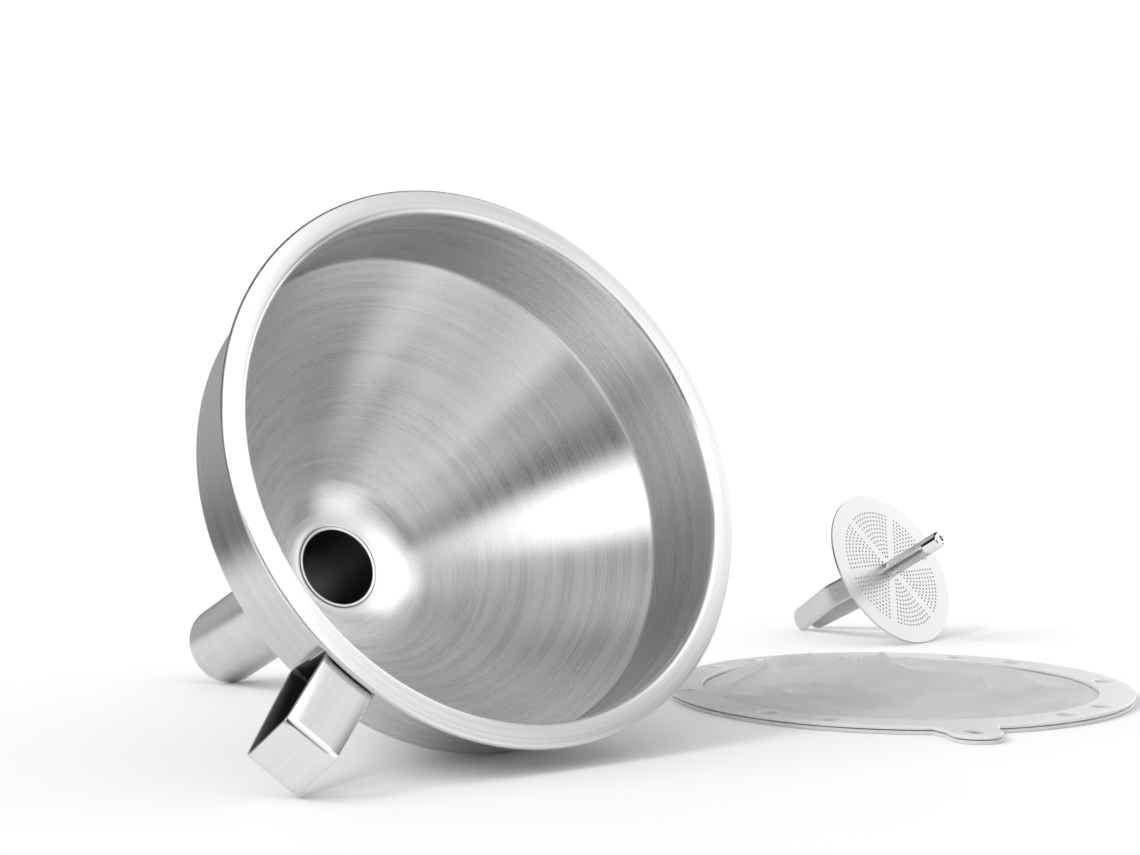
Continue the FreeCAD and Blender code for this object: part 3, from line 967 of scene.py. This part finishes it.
    def make_loop(self) -> bpy.types.Object:
        """Bends the carrying loop's strip.

        Returns:
            The new piece.
        """
        middle = self.loop_line()
        bm = strip(middle, self.loop_width, 4)
        radius = self.loop_bend + self.loop_sheet / 2
        bend(bm, middle, [(i, radius) for i in range(1, len(middle) - 1)])
        finish_strip(bm)
        turn = Matrix.Rotation(self.loop_turn, 4, "Z")
        bmesh.ops.transform(bm, matrix=turn, verts=bm.verts)
        piece = place_mesh(bm, "carry_loop_strip", self.lay, self.loop_finish.build(), 60.0)
        # The sheet's inside faces take the second slot, the dark steel with painted shade.
        piece.data.materials.append(self.loop_inside_painted_shade_finish.build())
        thicken(piece, self.loop_sheet, 0.0).material_offset = 1
        smooth_edges(piece, self.loop_edge)
        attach(piece, "funnel")
        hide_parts("carry_loop")
        return piece

    def make_spot_welds(self) -> bpy.types.Object:
        """Domes the two spot welds on the outer foot.

        Returns:
            The new piece.
        """
        line = self.loop_line()
        face_at = line[-1][0] + self.loop_sheet / 2
        height = (line[-1][1] + line[-2][1]) / 2 - self.spot_drop
        squash = (self.spot_rise / self.spot_radius, 1, 1)
        level = -0.001 * MM
        bm = bmesh.new()
        for side in (-1, 1):
            made = bmesh.ops.create_uvsphere(bm, u_segments=24, v_segments=12, radius=self.spot_radius)
            front = [v for v in made["verts"] if v.co.x > level]
            behind = [v for v in made["verts"] if v.co.x <= level]
            bmesh.ops.delete(bm, geom=behind, context="VERTS")
            bmesh.ops.scale(bm, vec=squash, verts=front)
            bmesh.ops.translate(bm, vec=(face_at, side * self.spot_apart, height), verts=front)
        bmesh.ops.holes_fill(bm, edges=[e for e in bm.edges if e.is_boundary], sides=0)
        bmesh.ops.recalc_face_normals(bm, faces=bm.faces)
        turn = Matrix.Rotation(self.loop_turn, 4, "Z")
        bmesh.ops.transform(bm, matrix=turn, verts=bm.verts)
        piece = place_mesh(bm, "loop_spot_weld_domes", self.lay, self.weld_finish.build())
        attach(piece, "funnel")
        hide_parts("loop_spot_welds")
        return piece

    def build(self) -> list[bpy.types.Object]:
        """Builds the funnel's pieces.

        Returns:
            The new pieces.
        """
        return [
            self.make_body(),
            self.make_spout(),
            self.make_weld(),
            self.make_loop(),
            self.make_spot_welds(),
        ]


# -------------------------------------------------------------------------------------- strainer
@dataclass
class Strainer:
    """The perforated strainer: disc, post, screw, washer and the spring strip."""

    disc_sheet: float = 0.6 * MM
    leg_sheet: float = 0.5 * MM
    leg_width: float = 6.8 * MM
    root_spread: float = 13.4 * MM
    knee_spread: float = 19.4 * MM
    tip_spread: float = 6.6 * MM
    knee_drop: float = 18.3 * MM
    tip_drop: float = 39.0 * MM
    bend: float = 1.2 * MM
    knee_round: float = 6.0 * MM
    post_radius: float = 2.4 * MM
    post_length: float = 20.6 * MM
    post_top: float = 0.9 * MM
    post_hole: float = 0.9 * MM
    post_tapped: float = 1.28 * MM
    post_tapped_depth: float = 7.1 * MM
    post_edge: float = 0.15 * MM
    post_parts: int = 64
    leg_edge: float = 0.12 * MM
    tip_steps: int = 8
    tip_blunt: float = 0.12
    blend_past: float = 0.3 * MM
    blend_drop: float = 1.5 * MM
    disc_finish: PlainSteelFinish = field(
        default_factory=lambda: PlainSteelFinish("disc_steel_skin", (0.6, 0.6, 0.6), 0.34, 0.05)
    )
    polished_finish: PlainSteelFinish = field(
        default_factory=lambda: PlainSteelFinish("polished_steel_skin", (0.84, 0.84, 0.84), 0.07, 0.03)
    )
    strip_finish: SteelFinish = field(
        default_factory=lambda: SteelFinish(
            "leg_steel_skin",
            grain=Grain.ALONG,
            tint=(0.66, 0.66, 0.67),
            roughness=0.32,
            anisotropy=0.5,
        )
    )

    def __post_init__(self) -> None:
        """Finds the strainer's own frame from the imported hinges."""
        a, turn = hinge("leg_a_flex")
        b, _ = hinge("leg_b_flex")
        x = (a - b).normalized()
        z = x.cross(turn).normalized()
        drop = self.disc_sheet + self.leg_sheet + self.bend
        self.lay = OwnFrame((a + b) / 2 + z * drop, x, z)

    def make_post(self) -> bpy.types.Object:
        """Turns the post with its rounded top and fine hole.

        Returns:
            The new piece.
        """
        points = [
            (self.post_tapped, 0.0),
            (self.post_radius, 0.0),
            (self.post_radius, self.post_length),
            (self.post_hole, self.post_length),
            (self.post_hole, self.post_tapped_depth),
            (self.post_tapped, self.post_tapped_depth),
        ]
        bm = spin_line(points, self.post_parts, True)
        round_rings(
            bm,
            [
                (*points[1], self.post_edge, 3),
                (*points[2], self.post_top, 8),
                (*points[3], self.post_edge, 3),
            ],
        )
        piece = place_mesh(bm, "strainer_post_turned", self.lay, self.polished_finish.build(), 40.0)
        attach(piece, "strainer")
        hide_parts("strainer_post")
        return piece

    def leg_line(self) -> list[tuple[float, float]]:
        """The outer face of one half of the strip, from the middle to the tip.

        Returns:
            (distance from the axis, height) of each corner.
        """
        top = -self.disc_sheet
        return [
            (0.0, top),
            (self.root_spread / 2, top),
            (self.knee_spread / 2, -self.knee_drop),
            (self.tip_spread / 2, -self.tip_drop),
        ]

    def make_leg(self, side: int, name: str, nodes: tuple[str, ...]) -> bpy.types.Object:
        """Bends one half of the strip, which follows the disc at its root and the leg at its tip.

        Args:
            side: 1 or -1, the side of the post.
            name: the piece's name.
            nodes: the CAD nodes that the piece stands for.

        Returns:
            The new piece.
        """
        line = self.leg_line()
        half = self.leg_width / 2
        way = Vector((line[3][0] - line[2][0], 0, line[3][1] - line[2][1])).normalized()
        tip = Vector((line[3][0], 0, line[3][1])) - way * half
        line[3] = (tip.x, tip.z)
        bm = strip(line, self.leg_width, 7)
        bend(bm, line, ((1, self.bend + self.leg_sheet), (2, self.knee_round)))
        edge = [
            e
            for e in bm.edges
            if e.is_boundary and all((v.co - tip).dot(way) > -NEAR for v in e.verts)
        ]
        for k in range(1, self.tip_steps + 1):
            made = bmesh.ops.extrude_edge_only(bm, edges=edge)
            verts = new_verts(made)
            edge = [
                g
                for g in made["geom"]
                if isinstance(g, bmesh.types.BMEdge) and all(v in verts for v in g.verts)
            ]
            before, after = (k - 1) / self.tip_steps, k / self.tip_steps
            old = math.sqrt(1 - before**2)
            shape = math.sqrt(1 - after**2) or self.tip_blunt
            for v in verts:
                v.co.y *= shape / old
                v.co += way * half * (after - before)
        finish_strip(bm)
        if side < 0:
            half_turn = Matrix.Rotation(math.pi, 3, "Z")
            bmesh.ops.rotate(bm, cent=(0, 0, 0), matrix=half_turn, verts=bm.verts)
        piece = place_mesh(bm, name, self.lay, self.strip_finish.build(), 50.0)
        thicken(piece, self.leg_sheet, -1.0)
        smooth_edges(piece, self.leg_edge)
        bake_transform(piece)
        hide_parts(*nodes)
        return piece

    def dress_kept(self) -> None:
        """Gives the disc, the screw and the washer their finishes."""
        disc = self.disc_finish.build()
        polished = self.polished_finish.build()
        for node, material in (
            ("strainer_disc", disc),
            ("post_screw", polished),
            ("post_washer", polished),
        ):
            for slot in frame["nodes"][node].material_slots:
                slot.material = material

    def build(self) -> list[bpy.types.Object]:
        """Builds the strainer's pieces.

        Returns:
            The new pieces.
        """
        self.dress_kept()
        return [
            self.make_post(),
            self.make_leg(1, "leg_strip_a", ("spring_leg_a", "leg_bridge")),
            self.make_leg(-1, "leg_strip_b", ("spring_leg_b",)),
        ]


# ---------------------------------------------------------------------------------------- filter
@dataclass
class MeshFilter:
    """The flat ring pair and the slack cloth between the rings."""

    radius: float = 58.5 * MM
    ring_width: float = 9.0 * MM
    ring_sheet: float = 0.9 * MM
    cloth_sheet: float = 0.2 * MM
    clamp: float = 1.9 * MM
    slack: float = 0.035
    ring_edge: float = 0.2 * MM
    cloth_gap: float = 0.03 * MM
    cloth_parts: int = 150
    cloth_lowest: float = -0.6 * MM
    cloth_rise: float = 0.5 * MM
    fold_height: float = 4.6 * MM
    fold_sizes: tuple[tuple[float, float], ...] = ((26.0, 1.0), (52.0, 0.42), (104.0, 0.1))
    fold_sharpness: float = 3.2
    fold_power: float = 1.5
    sway_scale: float = 24.0
    sway_planes: tuple[float, float] = (9.1, 4.3)
    sway_gain: float = 1.1
    pleats: int = 13
    pleat_height: float = 1.3 * MM
    pleat_at: float = 0.88
    pleat_width: float = 0.13
    ring_finish: MilkyPlasticFinish = field(
        default_factory=lambda: MilkyPlasticFinish("milky_plastic_skin")
    )
    cloth_finish: FineMeshFinish = field(default_factory=lambda: FineMeshFinish("fine_mesh_skin"))

    def __post_init__(self) -> None:
        """Finds the filter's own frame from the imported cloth."""
        low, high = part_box("filter_cloth")
        middle = (low + high) / 2
        self.lay = OwnFrame(Vector((middle.x, middle.y, 0)), Vector((1, 0, 0)), Vector((0, 0, 1)))

    def make_ring(self, node: str, name: str, material: bpy.types.Material) -> bpy.types.Object:
        """Copies a ring from the CAD node, merges it and softens its edges.

        Args:
            node: the CAD node.
            name: the piece's name.
            material: its finish.

        Returns:
            The new piece.
        """
        bm = bmesh.new()
        bm.from_mesh(frame["nodes"][node].data)
        bmesh.ops.remove_doubles(bm, verts=bm.verts, dist=1e-6)
        bmesh.ops.dissolve_limit(
            bm, angle_limit=math.radians(1.0), verts=bm.verts, edges=bm.edges
        )
        bmesh.ops.recalc_face_normals(bm, faces=bm.faces)
        still = OwnFrame(Vector((0, 0, 0)), Vector((1, 0, 0)), Vector((0, 0, 1)))
        piece = place_mesh(bm, name, still, material, 40.0)
        smooth_edges(piece, self.ring_edge, 3)
        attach(piece, "filter")
        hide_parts(node)
        return piece

    def cloth_height(self, x: float, y: float, reach: float) -> float:
        """The slack cloth's height over the clamp.

        Args:
            x: the point's place across the filter.
            y: the point's place along the filter.
            reach: the radius where the cloth is held.

        Returns:
            The height in metres.
        """
        r = math.hypot(x, y) / reach
        turn = math.atan2(y, x)
        held = max(0.0, 1 - r**2)
        sway = Vector((0.0, 0.0, 0.0))
        for axis, plane in enumerate(self.sway_planes):
            sway[axis] = mnoise.noise(Vector((x * self.sway_scale, y * self.sway_scale, plane)))
        folds = 0.0
        for seed, (scale, gain) in enumerate(self.fold_sizes):
            spot = Vector((x * scale, y * scale, 3.7 * seed + 1.3)) + sway * self.sway_gain
            valley = min(1.0, abs(mnoise.noise(spot)) * self.fold_sharpness)
            folds += gain * (1.0 - valley) ** self.fold_power
        wave = math.sin(self.pleats * turn + 2.6 * math.sin(2 * turn + 0.5) + 4 * r)
        pleat = (0.5 + 0.5 * wave) ** 2
        near_edge = math.exp(-(((r - self.pleat_at) / self.pleat_width) ** 2))
        folded = held**0.55 * (self.cloth_rise + self.fold_height * folds)
        return folded + self.pleat_height * pleat * near_edge * held**0.4

    def make_cloth(self) -> bpy.types.Object:
        """Lays the slack cloth over its clamp and wrinkles it.

        Returns:
            The new piece.
        """
        reach = self.radius - self.ring_width + self.clamp
        level = self.ring_sheet + self.cloth_gap + self.cloth_sheet / 2
        bm = bmesh.new()
        parts = self.cloth_parts
        bmesh.ops.create_grid(bm, x_segments=parts, y_segments=parts, size=reach)
        layer = bm.loops.layers.uv.new("weave")
        for face in bm.faces:
            for loop in face.loops:
                loop[layer].uv = (loop.vert.co.x, loop.vert.co.y)
        for vert in bm.verts:
            x, y = vert.co.x / reach, vert.co.y / reach
            vert.co.x = reach * x * math.sqrt(max(0.0, 1 - y * y / 2))
            vert.co.y = reach * y * math.sqrt(max(0.0, 1 - x * x / 2))
        inner = self.radius - self.ring_width
        for vert in bm.verts:
            lift = self.cloth_height(vert.co.x, vert.co.y, inner)
            if math.hypot(vert.co.x, vert.co.y) > inner:
                lift = 0.0
            vert.co.z = level + max(lift, self.cloth_lowest)
        piece = place_mesh(bm, "filter_cloth_slack", self.lay, self.cloth_finish.build(), 80.0)
        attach(piece, "filter")
        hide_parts("filter_cloth")
        return piece

    def build(self) -> list[bpy.types.Object]:
        """Builds the filter's pieces.

        Returns:
            The new pieces.
        """
        plastic = self.ring_finish.build()
        return [
            self.make_ring("filter_ring_lower", "filter_ring_under", plastic),
            self.make_ring("filter_ring_upper", "filter_ring_top", plastic),
            self.make_cloth(),
        ]


# ---------------------------------------------------------------------------------------- studio
@dataclass(frozen=True)
class SoftLight:
    """A round soft light that only shows in what metal mirrors.

    It is full within its inner angle from the way to it and gone past its outer one, in degrees.
    """

    way: tuple[float, float, float]
    gain: float
    outer: float = 38.0
    inner: float = 4.0


@dataclass
class Studio:
    """The table, the light and the camera."""

    camera_from_rim: Vector = field(default_factory=lambda: Vector((395.4, -277.7, 0)) * MM)
    camera_height: float = 91.75 * MM
    looking: Vector = field(default_factory=lambda: Vector((-0.79781, 0.60135, -0.04336)))
    lens: float = 70.27
    sensor: float = 36.0
    sees: tuple[float, float] = (0.01, 100.0)
    table_parts: int = 96
    table_near: float = 0.21
    table_reach: float = 30.0
    table_middle: Vector = field(default_factory=lambda: Vector((-0.03, 0.0, 0.0)))
    key: float = 1.5
    key_spread: float = 35.0
    key_from: Vector = field(default_factory=lambda: Vector((-0.25, -0.7, 0.66)))
    fill: float = 0.74
    white: float = 1.05
    room_level: float = 0.01
    soft_lights: tuple[SoftLight, ...] = (
        SoftLight((-0.117, -0.415, 0.902), 0.14, 20.0),
        SoftLight((0.323, -0.829, 0.456), 3.07, 20.0),
        SoftLight((0.684, -0.699, -0.206), 0.48, 20.0),
        SoftLight((0.765, -0.431, -0.477), 1.40, 20.0),
        SoftLight((0.643, 0.000, 0.766), 2.10),
        SoftLight((0.321, 0.557, 0.766), 0.88),
        SoftLight((0.321, -0.557, 0.766), 0.40),
        SoftLight((0.956, 0.169, 0.242), 1.12),
        SoftLight((0.556, 0.795, 0.242), 0.12),
        SoftLight((-0.169, 0.956, 0.242), 2.92),
        SoftLight((-0.956, -0.169, 0.242), 0.61),
        SoftLight((0.803, 0.464, -0.375), 1.33),
        SoftLight((0.000, 0.927, -0.375), 1.44),
        SoftLight((-0.803, -0.464, -0.375), 0.04),
        SoftLight((0.000, -0.927, -0.375), 1.63),
    )

    def make_camera(self, rim: Vector) -> None:
        """Places the camera.

        Args:
            rim: the middle of the funnel's rim.
        """
        data = bpy.data.cameras.new("studio_camera")
        data.lens = self.lens
        data.sensor_width = self.sensor
        data.clip_start, data.clip_end = self.sees
        camera = bpy.data.objects.new("studio_camera", data)
        bpy.context.scene.collection.objects.link(camera)
        camera.location = Vector((rim.x, rim.y, 0)) + self.camera_from_rim
        camera.location.z = self.camera_height
        camera.rotation_euler = self.looking.to_track_quat("-Z", "Y").to_euler()
        bpy.context.scene.camera = camera

    def make_table(self) -> None:
        """Lays the table: a near part, and a far ring that metal doesn't mirror."""
        material = TableFinish("table_skin").build()
        for name, inner, outer in (
            ("table_near", 0.0, self.table_near),
            ("table_far", self.table_near, self.table_reach),
        ):
            bm = bmesh.new()
            if inner:
                bmesh.ops.create_circle(bm, segments=self.table_parts, radius=inner)
                made = bmesh.ops.extrude_edge_only(bm, edges=list(bm.edges))
                bmesh.ops.scale(bm, vec=(outer / inner, outer / inner, 1), verts=new_verts(made))
                bmesh.ops.recalc_face_normals(bm, faces=bm.faces)
            else:
                bmesh.ops.create_circle(bm, cap_ends=True, segments=self.table_parts, radius=outer)
            if bm.faces[:][0].normal.z < 0:
                bmesh.ops.reverse_faces(bm, faces=bm.faces)
            bmesh.ops.translate(bm, vec=self.table_middle, verts=bm.verts)
            mesh = bpy.data.meshes.new(name)
            bm.to_mesh(mesh)
            bm.free()
            mesh.materials.append(material)
            table = bpy.data.objects.new(name, mesh)
            table.visible_glossy = not inner
            bpy.context.scene.collection.objects.link(table)

    def make_world(self) -> None:
        """Makes white surroundings, and a darker room with soft lights for the metal to mirror."""
        world = bpy.data.worlds.new("studio_world")
        world.use_nodes = True
        tree = world.node_tree
        link = tree.links.new
        white = tree.nodes["Background"]
        white.inputs["Color"].default_value = (1, 1, 1, 1)
        white.inputs["Strength"].default_value = self.white
        place = tree.nodes.new("ShaderNodeTexCoord")
        level = None
        for light in self.soft_lights:
            dot = tree.nodes.new("ShaderNodeVectorMath")
            dot.operation = "DOT_PRODUCT"
            dot.inputs[1].default_value = Vector(light.way).normalized()
            link(place.outputs["Generated"], dot.inputs[0])
            lobe = tree.nodes.new("ShaderNodeMapRange")
            lobe.interpolation_type = "SMOOTHSTEP"
            lobe.inputs["From Min"].default_value = math.cos(math.radians(light.outer))
            lobe.inputs["From Max"].default_value = math.cos(math.radians(light.inner))
            lobe.inputs["To Max"].default_value = light.gain
            link(dot.outputs["Value"], lobe.inputs["Value"])
            total = tree.nodes.new("ShaderNodeMath")
            total.operation = "ADD"
            total.inputs[1].default_value = self.room_level
            if level is not None:
                link(level, total.inputs[1])
            link(lobe.outputs["Result"], total.inputs[0])
            level = total.outputs[0]
        room = tree.nodes.new("ShaderNodeBackground")
        room.inputs["Color"].default_value = (1, 1, 1, 1)
        link(level, room.inputs["Strength"])
        soft = tree.nodes.new("ShaderNodeBackground")
        soft.inputs["Color"].default_value = (1, 1, 1, 1)
        soft.inputs["Strength"].default_value = self.fill
        path = tree.nodes.new("ShaderNodeLightPath")
        source = soft.outputs[0]
        for flag, colour in (("Is Glossy Ray", room), ("Is Camera Ray", white)):
            mix = tree.nodes.new("ShaderNodeMixShader")
            link(path.outputs[flag], mix.inputs[0])
            link(source, mix.inputs[1])
            link(colour.outputs[0], mix.inputs[2])
            source = mix.outputs[0]
        link(source, tree.nodes["World Output"].inputs[0])
        bpy.context.scene.world = world
        bpy.context.scene.view_settings.view_transform = "Standard"

    def make_key(self) -> None:
        """Adds a broad soft key light that shapes the cloth and the shadows."""
        data = bpy.data.lights.new("key_light", "SUN")
        data.energy = self.key
        data.angle = math.radians(self.key_spread)
        lamp = bpy.data.objects.new("key_light", data)
        lamp.visible_glossy = False
        lamp.rotation_euler = (-self.key_from).to_track_quat("-Z", "Y").to_euler()
        bpy.context.scene.collection.objects.link(lamp)

    def build(self, rim: Vector) -> None:
        """Builds the studio round the funnel.

        Args:
            rim: the middle of the funnel's rim.
        """
        self.make_camera(rim)
        self.make_table()
        self.make_world()
        self.make_key()


def main() -> None:
    """Builds every piece and the studio."""
    logging.basicConfig(level=logging.INFO, format="%(name)s: %(message)s")
    funnel = Funnel()
    for sub_assembly in (funnel, Strainer(), MeshFilter()):
        for piece in sub_assembly.build():
            log.info("%s has %s of %s", type(sub_assembly).__name__, piece.name, len(piece.data.polygons))
    Studio().build(funnel.lay.origin)


if __name__ == "__main__":
    main()
